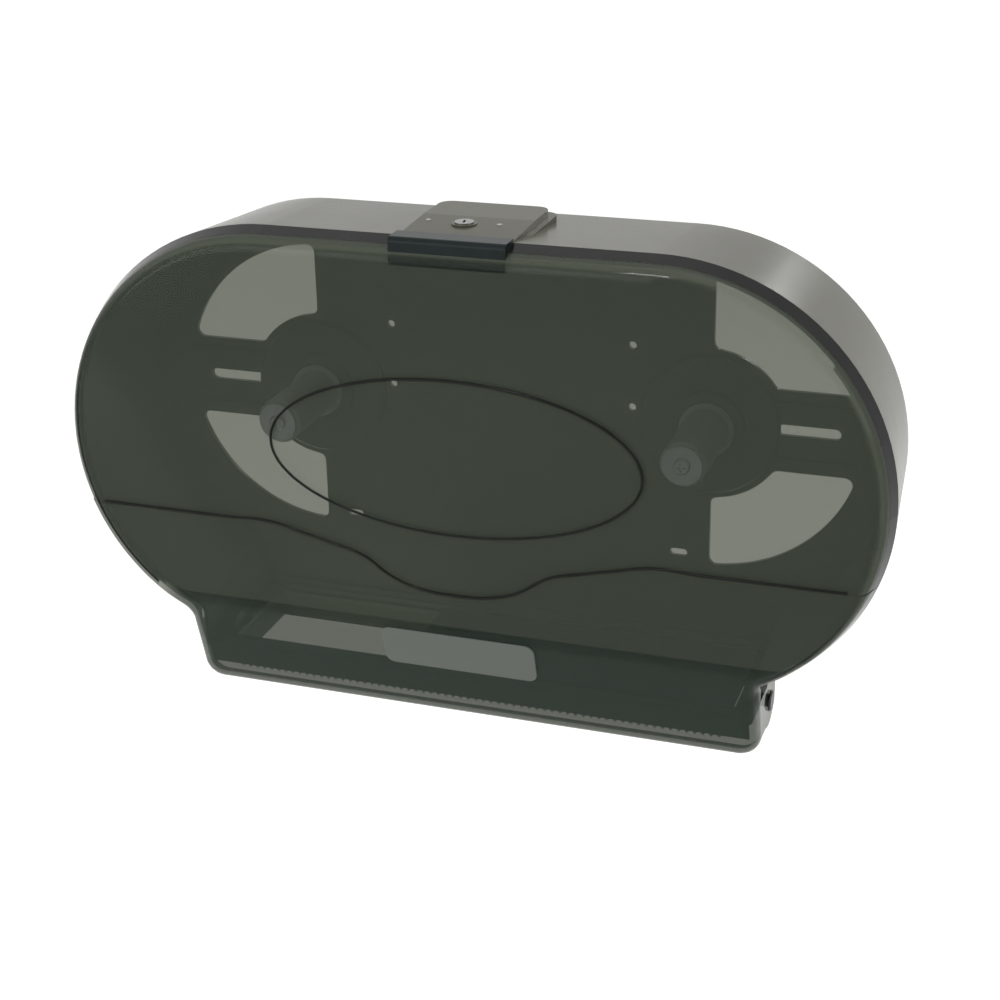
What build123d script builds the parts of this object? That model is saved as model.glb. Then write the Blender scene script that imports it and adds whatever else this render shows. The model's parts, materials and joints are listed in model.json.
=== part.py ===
from build123d import *
import math
import os

# Twin jumbo toilet roll dispenser, in millimetres.
# X runs to the right, +Y into the wall and +Z up. The origin is on the wall face of the housing,
# on the centre line, at the level where the rounded ends are widest.

# ---- outline, seen from the front ----
WIDTH = 510.0                # across the rounded ends
TOP_RADIUS = 137.5           # top corners, and so the height above the widest level
LOW_RADIUS = 131.0           # lower part of the rounded ends
NOTCH_RADIUS = 7.0           # inner corner where a rounded end meets the skirt
SKIRT_INSET = 72.0           # side of the lower skirt, in from the rounded end
SKIRT_BOTTOM = -169.0        # lowest edge of the skirt
SKIRT_CORNER = 13.0          # rounding of the skirt's lower corners
SKIRT_HALF = WIDTH / 2 - SKIRT_INSET

# ---- side profile ----
HOUSING_DEPTH = 95.0         # wall to the seam
HOUSING_DRAFT = 7.6          # how far the housing draws in from the seam to the wall
RIM_DEPTH = 17.3             # seam to the flat front of the cover
RIM_DRAFT = 7.4              # how far the cover's rim draws in, seam to front
RIM_FILLET = 8.0             # rounded front edge of the cover
SLOPE_TOP = -100.0           # below this level the cover's front leans back
SLOPE = 0.29                 # how far it leans, per millimetre down
BEND_RADIUS = 45.0           # soft bend between the flat front and the leaning part
SEAM_GAP = 0.5               # air between the housing's rim and the cover's
FRONT = HOUSING_DEPTH + RIM_DEPTH
SEAM = HOUSING_DEPTH - SEAM_GAP

# ---- walls and clearances ----
HOUSING_WALL = 2.6
COVER_WALL = 2.6
EAR_THICK = 2.6              # hinge ears of the cover
SIDE_GAP = 1.4               # ear to the housing's side
RUNNING = 0.05               # radial play of a turning fit
PLAY = 0.3                   # play between parts that slide or turn past each other

# ---- back plate ----
PLATE_THICK = 3.0
BOX_HALF = SKIRT_HALF - EAR_THICK - SIDE_GAP
BOX_CORNER = 3.0
BOX_INSIDE = BOX_HALF - HOUSING_WALL
TAB_THICK = 2.0              # locating tabs that reach into the cover
TAB_REACH = 7.0
TAB_ROOT = 12.0
TAB_ANGLES = [155.0, 31.0]   # left and right tab, round the rounded ends
TAB_SPAN = 9.0               # half angle that a tab covers
TAB_INSET = 6.5              # tab's outer face to the outline

# ---- roll hubs ----
HUB_INSET = 127.0            # hub's axis, in from the rounded end
HUB_Z = 6.0
DISC_RADIUS = 44.0           # raised disc round each hub
DISC_RAISE = 4.0
COLLAR_RADIUS = 23.0
COLLAR_RAISE = 4.0
POST_RADIUS = 8.0
HUB_RADIUS = 14.0
HUB_LENGTH = 60.0
HUB_FLANGE = 3.0             # how far the hub's rear flange stands out
HUB_FLUTES = 4
FLUTE_WIDTH = 1.8
FLUTE_DEPTH = 1.0
BRAKE_THICK = 0.8
BRAKE_RADIUS = 13.0
WASHER_THICK = 1.6
WASHER_RADIUS = 12.0
HUB_SCREW_RADIUS = 2.5
HUB_SCREW_LENGTH = 16.0
HUB_SCREW_HEAD = 5.0
HUB_SCREW_RAISE = 2.6
HUB_X = WIDTH / 2 - HUB_INSET
SEAT_FRONT = PLATE_THICK + DISC_RAISE + COLLAR_RAISE
HUB_BACK = SEAT_FRONT + BRAKE_THICK + PLAY
POST_END = HUB_BACK + HUB_LENGTH + PLAY

# ---- windows, ribs and holes in the back plate ----
WINDOW_INNER = 48.0
WINDOW_RADIUS = 94.0
WINDOW_SIDE = 1.5            # upright edge of the windows, from the hub's axis
WINDOW_SPOKE = 26.0          # half the height of the bar between the windows
WINDOW_CORNER = 5.0
RIB_HALF = 18.0              # ribs above and below the slot, from the hub's level
RIB_WIDTH = 2.4
RIB_RAISE = 3.0
RIB_END = 36.0               # outer end of the ribs, in from the rounded end
SLOT_INSET = 66.0            # middle of the mounting slot, in from the rounded end
SLOT_Z = 7.0
SLOT_LENGTH = 38.0
SLOT_WIDTH = 7.0
STUD_INNER = 49.0            # round screw holes, in from the hub's axis
STUD_Z = 32.0
STUD_PITCH = 40.0
STUD_HOLE = 2.5
LOW_SLOT_INNER = 18.0        # short slot below the hub, in from the hub's axis
LOW_SLOT_Z = -82.0
LOW_SLOT_LENGTH = 11.0
LOW_SLOT_WIDTH = 5.0
SLOT_X = WIDTH / 2 - SLOT_INSET

# ---- floor of the housing and its outlet ----
FLOOR_RISE = 26.0            # skirt's lower edge to the top of the floor
OUTLET_SIDE = 14.0           # housing's side to the outlet
OUTLET_BACK = 11.0           # wall face to the outlet
OUTLET_LIP = 8.5             # outlet to the seam
CHUTE_WALL = 2.4
CHUTE_DROP = 16.5            # floor's top to the lower edge of the chute
CHUTE_DRAFT = 3.0            # how far the chute draws in towards its lower edge
FLOOR_TOP = SKIRT_BOTTOM + FLOOR_RISE
FLOOR_UNDER = FLOOR_TOP - HOUSING_WALL
OUTLET_HALF = BOX_HALF - OUTLET_SIDE
OUTLET_FRONT = HOUSING_DEPTH - OUTLET_LIP

# ---- sliding door ----
DOOR_WIDTH = 212.0
DOOR_THICK = 2.4
DOOR_LIFT = 0.1              # air under the door
DOOR_SEAT = 3.5              # how far the door overlaps the floor at front and back
RAIL_LIP = 2.6
RAIL_THICK = 1.8
RAIL_STEP = 2.6              # door's edge to the outside of a rail
RAIL_PAST = 3.0              # how far the rails run past the outlet
REAR_RAIL = 8.0              # height of the rear rail above the floor
STOP_GAP = 0.4               # air between the parked door and its bumper
BUMPER_THICK = 3.0
BUMPER_DEPTH = 12.0
BUMPER_HEIGHT = 3.0
STOP_RIB = 2.4
GRIP_WIDTH = 40.0
GRIP_DROP = 15.0
GRIP_THICK = 2.6
GRIP_FLANGE = 12.0
GRIP_PLATE = 1.2
GRIP_RIB = 1.6
GRIP_MIDDLE = 10.0           # grip's face, in front of the door's middle
DOOR_RIGHT = OUTLET_HALF - STOP_GAP
DOOR_LEFT = DOOR_RIGHT - DOOR_WIDTH
DOOR_UNDER = FLOOR_TOP + DOOR_LIFT
DOOR_MIDDLE = (OUTLET_BACK + OUTLET_FRONT) / 2
RAIL_UNDER = DOOR_UNDER + DOOR_THICK + PLAY

# ---- cover hinge ----
HINGE_BEHIND = 29.0          # hinge axis behind the seam
EAR_RADIUS = 17.0
PIN_RADIUS = 4.0
PIN_HEAD_RADIUS = 6.5
PIN_HEAD_THICK = 1.6
PIN_REACH = 10.0             # how far the pin reaches into the housing's side
BOSS_RADIUS = 9.0
BOSS_LENGTH = 8.0
LIP_RETURN = 9.0             # inward return along the skirt's lower edge
HINGE_Y = HINGE_BEHIND - HOUSING_DEPTH
HINGE_Z = FLOOR_TOP
LIP_EDGE = LIP_RETURN - FRONT - SLOPE * (SKIRT_BOTTOM - SLOPE_TOP)

# ---- apron and tear bar, inside the circle that the skirt's lip swings round ----
APRON_GAP = 0.6
APRON_WALL = 2.2
APRON_DROP = 15.0            # hinge axis to the lower edge of the apron
TEAR_THICK = 1.0
TEAR_DROP = 18.3             # hinge axis to the points of the teeth
TEAR_INSET = 5.0             # outlet's side to the end of the bar
TEAR_PITCH = 5.0
TEAR_DEPTH = 2.8
TEAR_FLANGE = 4.0
TEAR_SCREW_INSET = 40.0      # outer screws, in from the end of the bar
TEAR_SCREW_RADIUS = 1.2
TEAR_SCREW_HEAD = 1.9
TEAR_SCREW_RAISE = 1.3
APRON_RADIUS = math.hypot(HINGE_Y - LIP_EDGE, SKIRT_BOTTOM + COVER_WALL - HINGE_Z) - APRON_GAP
TEAR_HALF = OUTLET_HALF - TEAR_INSET
TEAR_SCREWS = [TEAR_SCREW_INSET - TEAR_HALF, 0.0, TEAR_HALF - TEAR_SCREW_INSET]
TEAR_SCREW_Y = -(OUTLET_FRONT + TEAR_THICK + TEAR_FLANGE / 2 + 0.2)

# ---- front of the cover ----
STEP = 1.0                   # how far the lower panel and the oval stand proud
GROOVE_WIDTH = 1.8           # groove along the wave line and round the oval
GROOVE_DEPTH = 0.7
WAVE = [                     # wave line from the middle outwards: X, Z
    (0.0, -78.0),
    (22.0, -76.5),
    (42.0, -69.5),
    (57.0, -59.5),
    (78.0, -53.5),
    (99.0, -48.5),
    (118.0, -44.3),
    (145.0, -44.5),
]
OVAL_Z = 10.3
OVAL_HALF_X = 113.7
OVAL_HALF_Z = 47.3
LABEL_WIDTH = 98.0
LABEL_HEIGHT = 28.5
LABEL_Z = -118.0
LABEL_THICK = 0.8
LABEL_CORNER = 6.0
LABEL_EDGE = 0.3

# ---- lock box on top ----
LOCK_PROUD = 2.0             # top of the lock box above the housing's highest line
LOCK_HEIGHT = 17.9
LOCK_HALF = 34.0             # half the width of the upper tier
LOCK_LEDGE = 4.0             # how far the lower tier stands out
LOCK_STEP = 3.9              # upper tier above the lower tier
LOCK_REAR = 22.0             # wall face to the rear of the upper tier
LOCK_WALL = 2.4
LOCK_CORNER = 8.0
LOCK_BREAK = 41.0            # from the seam back to where the top starts to fall forward
LOCK_FALL = 1.8
LOCK_LUG = 6.0               # lower tier to the screws that hold the box
LOCK_LUG_END = 5.0
LOCK_STUD = 4.0
LOCK_SCREW_RADIUS = 1.75
LOCK_SCREW_LENGTH = 8.0
LOCK_SCREW_HEAD = 3.6
LOCK_SCREW_RAISE = 2.0
MARK_X = [-27.0, 16.5]       # pale pips that show the key's two positions
MARK_BEHIND = 29.0
MARK_RADIUS = 1.6
MARK_DEPTH = 1.2
MARK_RAISE = 0.3
LOCK_TOP = TOP_RADIUS + LOCK_PROUD
LOCK_BASE = LOCK_TOP - LOCK_HEIGHT
LOCK_SCREW_X = LOCK_HALF + LOCK_LEDGE + LOCK_LUG
LOCK_SCREW_Y = -(LOCK_REAR + HOUSING_DEPTH) / 2

# ---- key barrel and cam ----
BARREL_X = -4.0
BARREL_BEHIND = 27.0         # barrel's axis behind the seam
BARREL_RADIUS = 4.5
BARREL_FLANGE = 1.2
BARREL_PROUD = 0.8
SLEEVE_WALL = 3.0
SLEEVE_LENGTH = 10.5
KEY_LENGTH = 5.4
KEY_WIDTH = 1.4
KEY_DEPTH = 4.0
CAM_THICK = 2.4
CAM_WIDTH = 10.0
CAM_NOSE_IN = 16.0
CAM_NOSE_OUT = 19.0
CAM_NOSE_HEIGHT = 7.7
STUB = 6.0                   # square that drives the cam
CAM_OPEN = -80.0             # angle of the cam when the lock is open
CAM_SCREW_RADIUS = 1.8
CAM_SCREW_HEAD = 3.6
CAM_SCREW_RAISE = 1.8
BARREL_Y = BARREL_BEHIND - HOUSING_DEPTH
SLEEVE_BOTTOM = LOCK_TOP - SLEEVE_LENGTH
BARREL_BOTTOM = SLEEVE_BOTTOM - PLAY
CAM_BOTTOM = BARREL_BOTTOM - CAM_THICK

# ---- catch on the cover's top edge ----
CATCH_HALF = 34.8
CATCH_DEPTH = 15.0
CATCH_HEIGHT = 16.0
CATCH_PROUD = 0.5            # catch above the lock box
CATCH_EDGE = 3.0
HOOK_RIGHT = 9.0             # hook's arm, right of the barrel's axis
HOOK_LEFT = 5.0              # end of the hook's bar, left of it
HOOK_AHEAD = 12.0            # rear face of the hook's bar, in front of the barrel's axis
HOOK_THICK = 2.5
HOOK_HEIGHT = 6.0
CATCH_TOP = LOCK_TOP + CATCH_PROUD
CATCH_BOTTOM = CATCH_TOP - CATCH_HEIGHT


def at(depth):
    """Plane parallel to the wall, the given distance in front of it, facing the viewer."""
    return Plane.XZ.offset(depth)


def left_of(solid):
    """The same solid mirrored to the left side."""
    return mirror(solid, about=Plane.YZ)


def both(solid):
    """A right piece and its mirror image, as one group."""
    return Compound([left_of(solid), solid])


def block(x0, x1, y0, y1, z0, z1):
    """Box between two corners."""
    size = Box(abs(x1 - x0), abs(y1 - y0), abs(z1 - z0))
    return Pos((x0 + x1) / 2, (y0 + y1) / 2, (z0 + z1) / 2) * size


def rod(x, z, radius, front, back):
    """Cylinder along Y, between two distances from the wall."""
    return extrude(at(back) * Pos(x, z) * Circle(radius), front - back)


def slot(x, z, length, width, front, back):
    """Slotted cutter along X, between two distances from the wall."""
    return extrude(at(back) * Pos(x, z) * SlotOverall(length, width), front - back)


def post(x, y, radius, low, high):
    """Upright cylinder between two heights."""
    return Pos(x, y, (low + high) / 2) * Cylinder(radius, high - low)


def axle(x0, x1, y, z, radius):
    """Cylinder along X."""
    return Pos((x0 + x1) / 2, y, z) * Rot(0, 90, 0) * Cylinder(radius, abs(x1 - x0))


def side_profile(points, half):
    """Solid across the width from a closed profile of Y and Z points."""
    return extrude(Plane.YZ * make_face(Polyline(*points, close=True)), half, both=True)


def outline(inset, side, drop, corner, depth):
    """Face of the body seen from the front: rounded ends drawn in by inset, straight lower box."""
    top_c = WIDTH / 2 - TOP_RADIUS
    top_r = TOP_RADIUS - inset
    low_c = WIDTH / 2 - LOW_RADIUS
    low_r = LOW_RADIUS - inset
    blend_x = side + NOTCH_RADIUS
    blend_z = -math.sqrt((low_r + NOTCH_RADIUS) ** 2 - (blend_x - low_c) ** 2)
    sweep = math.degrees(math.atan2(-blend_z, blend_x - low_c))
    half = Curve() + [
        Line((0, top_r), (top_c, top_r)),
        CenterArc((top_c, 0), top_r, 90, -90),
        CenterArc((low_c, 0), low_r, 0, -sweep),
        CenterArc((blend_x, blend_z), NOTCH_RADIUS, 180 - sweep, sweep),
        Line((side, blend_z), (side, drop + corner)),
        CenterArc((side - corner, drop + corner), corner, 0, -90),
        Line((side - corner, drop), (0, drop)),
    ]
    return at(depth) * make_face(half + mirror(half, about=Plane.YZ))


# ---- front cover ----


def behind_front(gap):
    """Everything behind the cover's front surface moved back by gap, seen from the side."""
    face = -(FRONT - gap)
    low = SKIRT_BOTTOM - 40
    profile = Polyline(
        (face, TOP_RADIUS + 20),
        (face, SLOPE_TOP),
        (face + SLOPE * (SLOPE_TOP - low), low),
        (0, low),
        (0, TOP_RADIUS + 20),
        close=True,
    )
    sketch = make_face(profile)
    bend = sketch.vertices().sort_by_distance((face, SLOPE_TOP, 0))[0]
    sketch = fillet(bend, BEND_RADIUS)
    return extrude(Plane.YZ * sketch, WIDTH / 2 + 10, both=True)


def front_rim(body):
    """Edges round the front surface of the body."""
    fronts = [face for face in body.faces() if face.normal_at().Y < -0.9]
    edges = [edge for face in fronts for edge in face.edges()]
    return [edge for edge in edges if sum(edge.is_same(other) for other in edges) == 1]


def cover_mass(gap, wall):
    """Solid inside the cover's outer surface: gap is taken off the front, wall off the sides."""
    side = SKIRT_HALF - wall
    drop = SKIRT_BOTTOM + wall
    corner = SKIRT_CORNER - wall
    start = outline(wall, side, drop, corner, HOUSING_DEPTH)
    end = outline(gap + RIM_DRAFT, side, drop, corner, FRONT + 5)
    body = loft([start, end], ruled=True)
    lower = at(-HINGE_Y) * Pos(0, drop) * skirt_section(side, corner)
    body += extrude(lower, HOUSING_DEPTH + HINGE_Y)
    body = body & behind_front(gap)
    return fillet(front_rim(body), RIM_FILLET - gap)


def skirt_section(side, corner):
    """Lower part of the skirt seen from the front, standing on its lower edge."""
    height = 40.0
    section = Pos(0, height / 2) * Rectangle(2 * side, height)
    lower = section.vertices().group_by(Axis.Y)[0]
    return fillet(lower, corner)


def wave_region(lift):
    """Everything below the wave line on the cover's front, with the line raised by lift."""
    right = [(x, z + lift) for x, z in WAVE if x > 0]
    left = [(-x, z) for x, z in reversed(right)]
    line = Spline(left + [(0, WAVE[0][1] + lift)] + right)
    end = WAVE[-1][1] + lift
    low = SKIRT_BOTTOM - 20
    edges = [
        line,
        Line(line @ 1, (WIDTH, end)),
        Line((WIDTH, end), (WIDTH, low)),
        Line((WIDTH, low), (-WIDTH, low)),
        Line((-WIDTH, low), (-WIDTH, end)),
        Line((-WIDTH, end), line @ 0),
    ]
    return extrude(at(HOUSING_DEPTH / 2) * make_face(edges), FRONT)


def oval(grow, back, front):
    """Oval on the cover's front, grown by a margin, between two distances from the wall."""
    shape = Ellipse(OVAL_HALF_X + grow, OVAL_HALF_Z + grow)
    return extrude(at(back) * Pos(0, OVAL_Z) * shape, front - back)


def grooves():
    """Cutter of the grooves along the wave line and round the oval."""
    wave = wave_region(GROOVE_WIDTH) - wave_region(0)
    ring = oval(GROOVE_WIDTH, FRONT - 5, FRONT + 5) - oval(0, FRONT - 5, FRONT + 5)
    return (wave + ring) - behind_front(GROOVE_DEPTH)


def catch_block(edge):
    """Outer shape of the catch on the cover's top edge, with its top front edge rounded."""
    front = -HOUSING_DEPTH - CATCH_DEPTH
    body = block(-CATCH_HALF, CATCH_HALF, -HOUSING_DEPTH, front, CATCH_BOTTOM, CATCH_TOP)
    top_front = body.edges().filter_by(Axis.X).group_by(Axis.Z)[-1].sort_by(Axis.Y)[0]
    return fillet(top_front, edge)


def ear_trim():
    """What is cut away below the hinge ears, seen from the side."""
    front = HINGE_Y - EAR_RADIUS
    points = [
        (front, SKIRT_BOTTOM - 1),
        (front, SKIRT_BOTTOM),
        (HINGE_Y, HINGE_Z - EAR_RADIUS),
        (0, HINGE_Z - EAR_RADIUS),
        (0, SKIRT_BOTTOM - 1),
    ]
    return side_profile(points, SKIRT_HALF + 5)


def front_cover():
    """See-through lid: rim, flat front, raised oval and lower panel, skirt and hinge ears."""
    body = cover_mass(0, 0) + (cover_mass(-STEP, 0) & wave_region(0))
    body += oval(0, FRONT - 1, FRONT + STEP)
    body -= grooves()
    body -= cover_mass(COVER_WALL, COVER_WALL)
    side = SKIRT_HALF - EAR_THICK
    body -= block(-side, side, LIP_EDGE, 0, SKIRT_BOTTOM - 5, SKIRT_BOTTOM + 10)
    ear = axle(side, SKIRT_HALF, HINGE_Y, HINGE_Z, EAR_RADIUS)
    body += [ear, left_of(ear)]
    body -= ear_trim()
    bore = axle(0, SKIRT_HALF + 5, HINGE_Y, HINGE_Z, PIN_RADIUS + RUNNING)
    body -= [bore, left_of(bore)]
    return body - catch_block(CATCH_EDGE)


def cover_catch():
    """Dark catch with the hook that the lock's cam holds."""
    body = catch_block(CATCH_EDGE)
    right = BARREL_X + HOOK_RIGHT + HOOK_THICK
    bar = BARREL_Y - HOOK_AHEAD
    low = SLEEVE_BOTTOM
    high = low + HOOK_HEIGHT
    body += block(right - HOOK_THICK, right, -HOUSING_DEPTH - 0.5, bar, low, high)
    body += block(BARREL_X - HOOK_LEFT, right, bar - HOOK_THICK, bar, low, high)
    return body


def label_plate():
    """Bare plate on the leaning lower panel."""
    lean = math.degrees(math.atan(SLOPE))
    face = FRONT + STEP / math.cos(math.radians(lean)) - SLOPE * (SLOPE_TOP - LABEL_Z)
    body = extrude(RectangleRounded(LABEL_WIDTH, LABEL_HEIGHT, LABEL_CORNER), LABEL_THICK)
    body = chamfer(body.edges().group_by(Axis.Z)[-1], LABEL_EDGE)
    return Pos(0, -face, LABEL_Z) * Rot(90 + lean, 0, 0) * body


# ---- housing ----


def housing_outline(gap, depth):
    """Outline of the housing at a distance from the wall, drawn in by gap."""
    inset = HOUSING_DRAFT * (1 - depth / HOUSING_DEPTH) + gap
    return outline(inset, BOX_HALF - gap, FLOOR_UNDER + gap, BOX_CORNER - gap, depth)


def windows():
    """Cutters of the windows in the outer quarters behind each roll."""
    ring = Circle(WINDOW_RADIUS) - Circle(WINDOW_INNER)
    reach = WINDOW_RADIUS + 1
    corner = Pos(WINDOW_SIDE + reach / 2, WINDOW_SPOKE + reach / 2) * Rectangle(reach, reach)
    upper = ring & corner
    upper = fillet(upper.vertices(), WINDOW_CORNER)
    cutters = []
    for pane in (upper, mirror(upper, about=Plane.XZ)):
        cutter = extrude(at(-1) * Pos(HUB_X, HUB_Z) * pane, PLATE_THICK + 2)
        cutters += [cutter, left_of(cutter)]
    return cutters


def wall_holes():
    """Cutters of the mounting slots and the small holes in the back plate."""
    front = PLATE_THICK + 1
    low_x = HUB_X - LOW_SLOT_INNER
    cutters = [slot(SLOT_X, SLOT_Z, SLOT_LENGTH, SLOT_WIDTH, front, -1)]
    cutters += [slot(low_x, LOW_SLOT_Z, LOW_SLOT_LENGTH, LOW_SLOT_WIDTH, front, -1)]
    for z in (STUD_Z - STUD_PITCH / 2, STUD_Z + STUD_PITCH / 2):
        cutters.append(rod(HUB_X - STUD_INNER, z, STUD_HOLE, front, -1))
    return cutters + [left_of(cutter) for cutter in cutters]


def spoke_ribs():
    """Ribs that stiffen the plate between the right windows."""
    inner = HUB_X + math.sqrt(DISC_RADIUS**2 - RIB_HALF**2) - 2
    outer = WIDTH / 2 - RIB_END
    ribs = []
    for z in (HUB_Z - RIB_HALF, HUB_Z + RIB_HALF):
        low = z - RIB_WIDTH / 2
        ribs.append(block(inner, outer, -1, -PLATE_THICK - RIB_RAISE, low, low + RIB_WIDTH))
    return ribs


def hub_seat():
    """Raised disc, collar and post that carry the right hub."""
    disc = PLATE_THICK + DISC_RAISE
    seat = rod(HUB_X, HUB_Z, DISC_RADIUS, disc, 1)
    seat = chamfer(seat.edges().sort_by(Axis.Y)[0], 1.5)
    seat += rod(HUB_X, HUB_Z, COLLAR_RADIUS, disc + COLLAR_RAISE, 1)
    seat += rod(HUB_X, HUB_Z, POST_RADIUS, POST_END, 1)
    return seat


def back_housing():
    """Back plate with windows, slots and ribs, and with the seats of the two hubs."""
    body = loft([housing_outline(0, 0), housing_outline(0, PLATE_THICK)], ruled=True)
    seat = hub_seat()
    body += [seat, left_of(seat)]
    for rib in spoke_ribs():
        body += [rib, left_of(rib)]
    body -= windows()
    body -= wall_holes()
    hole = rod(HUB_X, HUB_Z, HUB_SCREW_RADIUS, POST_END + 1, POST_END - HUB_SCREW_LENGTH)
    return body - [hole, left_of(hole)]


def tab(centre, angle):
    """Locating tab on the seam, at an angle round a rounded end."""
    outer = TOP_RADIUS - TAB_INSET
    front = HOUSING_DEPTH + TAB_REACH
    back = HOUSING_DEPTH - TAB_ROOT
    lip = Pos(centre, 0) * (Circle(outer) - Circle(outer - TAB_THICK))
    root = Pos(centre, 0) * (Circle(TOP_RADIUS - 1.5) - Circle(outer - 0.5))
    piece = extrude(at(back) * lip, front - back)
    piece += extrude(at(back) * root, TAB_ROOT - 3)
    return piece & tab_wedge(centre, angle)


def tab_wedge(centre, angle):
    """Sector that a locating tab covers."""
    reach = TOP_RADIUS + 10
    points = [(0, 0)]
    for turn in (angle - TAB_SPAN, angle, angle + TAB_SPAN):
        bearing = math.radians(turn)
        points.append((reach * math.cos(bearing), reach * math.sin(bearing)))
    face = at(0) * Pos(centre, 0) * make_face(Polyline(*points, close=True))
    return extrude(face, FRONT)


def side_wall():
    """Drafted wall round the back plate, open below where the floor closes it."""
    outer = [housing_outline(0, PLATE_THICK), housing_outline(0, SEAM)]
    inner = [housing_outline(HOUSING_WALL, PLATE_THICK), housing_outline(HOUSING_WALL, SEAM)]
    body = loft(outer, ruled=True) - loft(inner, ruled=True)
    body -= block(-BOX_INSIDE, BOX_INSIDE, 0, -FRONT, FLOOR_UNDER - 5, FLOOR_TOP + 1)
    top_centre = WIDTH / 2 - TOP_RADIUS
    body += [tab(-top_centre, TAB_ANGLES[0]), tab(top_centre, TAB_ANGLES[1])]
    roof = TOP_RADIUS - HOUSING_DRAFT * (1 + LOCK_SCREW_Y / HOUSING_DEPTH) - HOUSING_WALL / 2
    stud = post(LOCK_SCREW_X, LOCK_SCREW_Y, LOCK_STUD, LOCK_BASE + LOCK_WALL, roof)
    screw_top = LOCK_BASE + LOCK_SCREW_LENGTH
    screw = post(LOCK_SCREW_X, LOCK_SCREW_Y, LOCK_SCREW_RADIUS, LOCK_BASE, screw_top)
    bore = axle(BOX_HALF - PIN_REACH, BOX_HALF + 5, HINGE_Y, HINGE_Z, PIN_RADIUS)
    body += [stud, left_of(stud)]
    body -= lock_outer()
    for cutter in (bore, screw):
        body -= [cutter, left_of(cutter)]
    return body


def chute_mass(shrink):
    """Tapered mass of the paper chute below the floor, drawn in on three sides by shrink."""
    high = FLOOR_UNDER
    low = FLOOR_TOP - CHUTE_DROP
    sections = []
    for z, draft in ((high, 0), (low, CHUTE_DRAFT)):
        half = OUTLET_HALF + CHUTE_WALL - draft - shrink
        back = -OUTLET_BACK + CHUTE_WALL - draft - shrink
        front = -OUTLET_FRONT - (1 if shrink else 0)
        middle = Pos(0, (back + front) / 2, z)
        sections.append(middle * Rectangle(2 * half, back - front))
    return loft(sections, ruled=True)


def apron():
    """Curved wall under the floor's front edge, concentric with the hinge."""
    ring = Circle(APRON_RADIUS) - Circle(APRON_RADIUS - APRON_WALL)
    high = -HOUSING_WALL / 2
    window = Pos(-APRON_RADIUS, (high - APRON_DROP) / 2)
    section = ring & window * Rectangle(2 * APRON_RADIUS, high + APRON_DROP)
    plane = Plane.YZ.offset(-BOX_INSIDE)
    return extrude(plane * Pos(HINGE_Y, HINGE_Z) * section, 2 * BOX_INSIDE)


def rail(edge, wall, top):
    """Door rail: an upright wall with a lip over the door's edge."""
    half = OUTLET_HALF + RAIL_PAST
    away = 1 if wall > edge else -1
    upright = block(-half, half, edge + away * PLAY, wall, FLOOR_UNDER + 1, top)
    inner = edge - away * RAIL_LIP
    return upright + block(-half, half, inner, wall, RAIL_UNDER, RAIL_UNDER + RAIL_THICK)


def stop_block():
    """Rib on the floor behind the right bumper."""
    x = OUTLET_HALF + BUMPER_THICK
    front = -DOOR_MIDDLE - BUMPER_DEPTH / 2
    back = front + BUMPER_DEPTH
    return block(x, x + STOP_RIB, front, back, FLOOR_UNDER + 1, FLOOR_TOP + BUMPER_HEIGHT)


def outlet_floor():
    """Floor with the paper outlet, its chute and apron, the door rails and the hinge bosses."""
    body = block(-BOX_INSIDE, BOX_INSIDE, -PLATE_THICK, -SEAM, FLOOR_UNDER, FLOOR_TOP)
    body += apron()
    body += chute_mass(0)
    back = -OUTLET_BACK + DOOR_SEAT
    front = -OUTLET_FRONT - DOOR_SEAT
    body += rail(back, back + RAIL_STEP, FLOOR_TOP + REAR_RAIL)
    body += rail(front, front - RAIL_STEP, RAIL_UNDER + RAIL_THICK)
    stop = stop_block()
    boss = axle(BOX_INSIDE - BOSS_LENGTH, BOX_INSIDE, HINGE_Y, HINGE_Z, BOSS_RADIUS)
    bore = axle(BOX_HALF - PIN_REACH, BOX_HALF, HINGE_Y, HINGE_Z, PIN_RADIUS)
    body += [stop, left_of(stop), boss, left_of(boss)]
    body -= [bore, left_of(bore)]
    body -= block(
        -OUTLET_HALF, OUTLET_HALF, -OUTLET_FRONT, -OUTLET_BACK, FLOOR_UNDER - 1, FLOOR_TOP
    )
    body -= chute_mass(CHUTE_WALL)
    for spot in TEAR_SCREWS:
        body -= post(spot, TEAR_SCREW_Y, TEAR_SCREW_RADIUS, FLOOR_UNDER - 1, FLOOR_TOP)
    return body


# ---- lock ----


def lock_tier(half, rear, top):
    """One tier of the lock box, with rounded rear corners."""
    body = block(-half, half, -SEAM, -rear, LOCK_BASE, top)
    corners = body.edges().filter_by(Axis.Z).group_by(Axis.Y)[-1]
    return fillet(corners, LOCK_CORNER)


def lock_outer():
    """Outer shape of the lock box: two tiers, the top falling towards the seam."""
    body = lock_tier(LOCK_HALF, LOCK_REAR, LOCK_TOP)
    low_half = LOCK_HALF + LOCK_LEDGE
    body += lock_tier(low_half, LOCK_REAR - LOCK_LEDGE, LOCK_TOP - LOCK_STEP)
    points = [
        (LOCK_BREAK - SEAM, LOCK_TOP),
        (-SEAM, LOCK_TOP - LOCK_FALL),
        (-SEAM, LOCK_TOP + 5),
        (LOCK_BREAK - SEAM, LOCK_TOP + 5),
    ]
    return body - side_profile(points, LOCK_HALF + 1)


def lock_mark(x, top):
    """Upright pin at one of the two key marks, from its seat up to the given height."""
    seat = LOCK_TOP - LOCK_FALL * (LOCK_BREAK - MARK_BEHIND) / LOCK_BREAK - MARK_DEPTH
    return post(x, MARK_BEHIND - SEAM, MARK_RADIUS, seat, seat + top)


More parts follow.
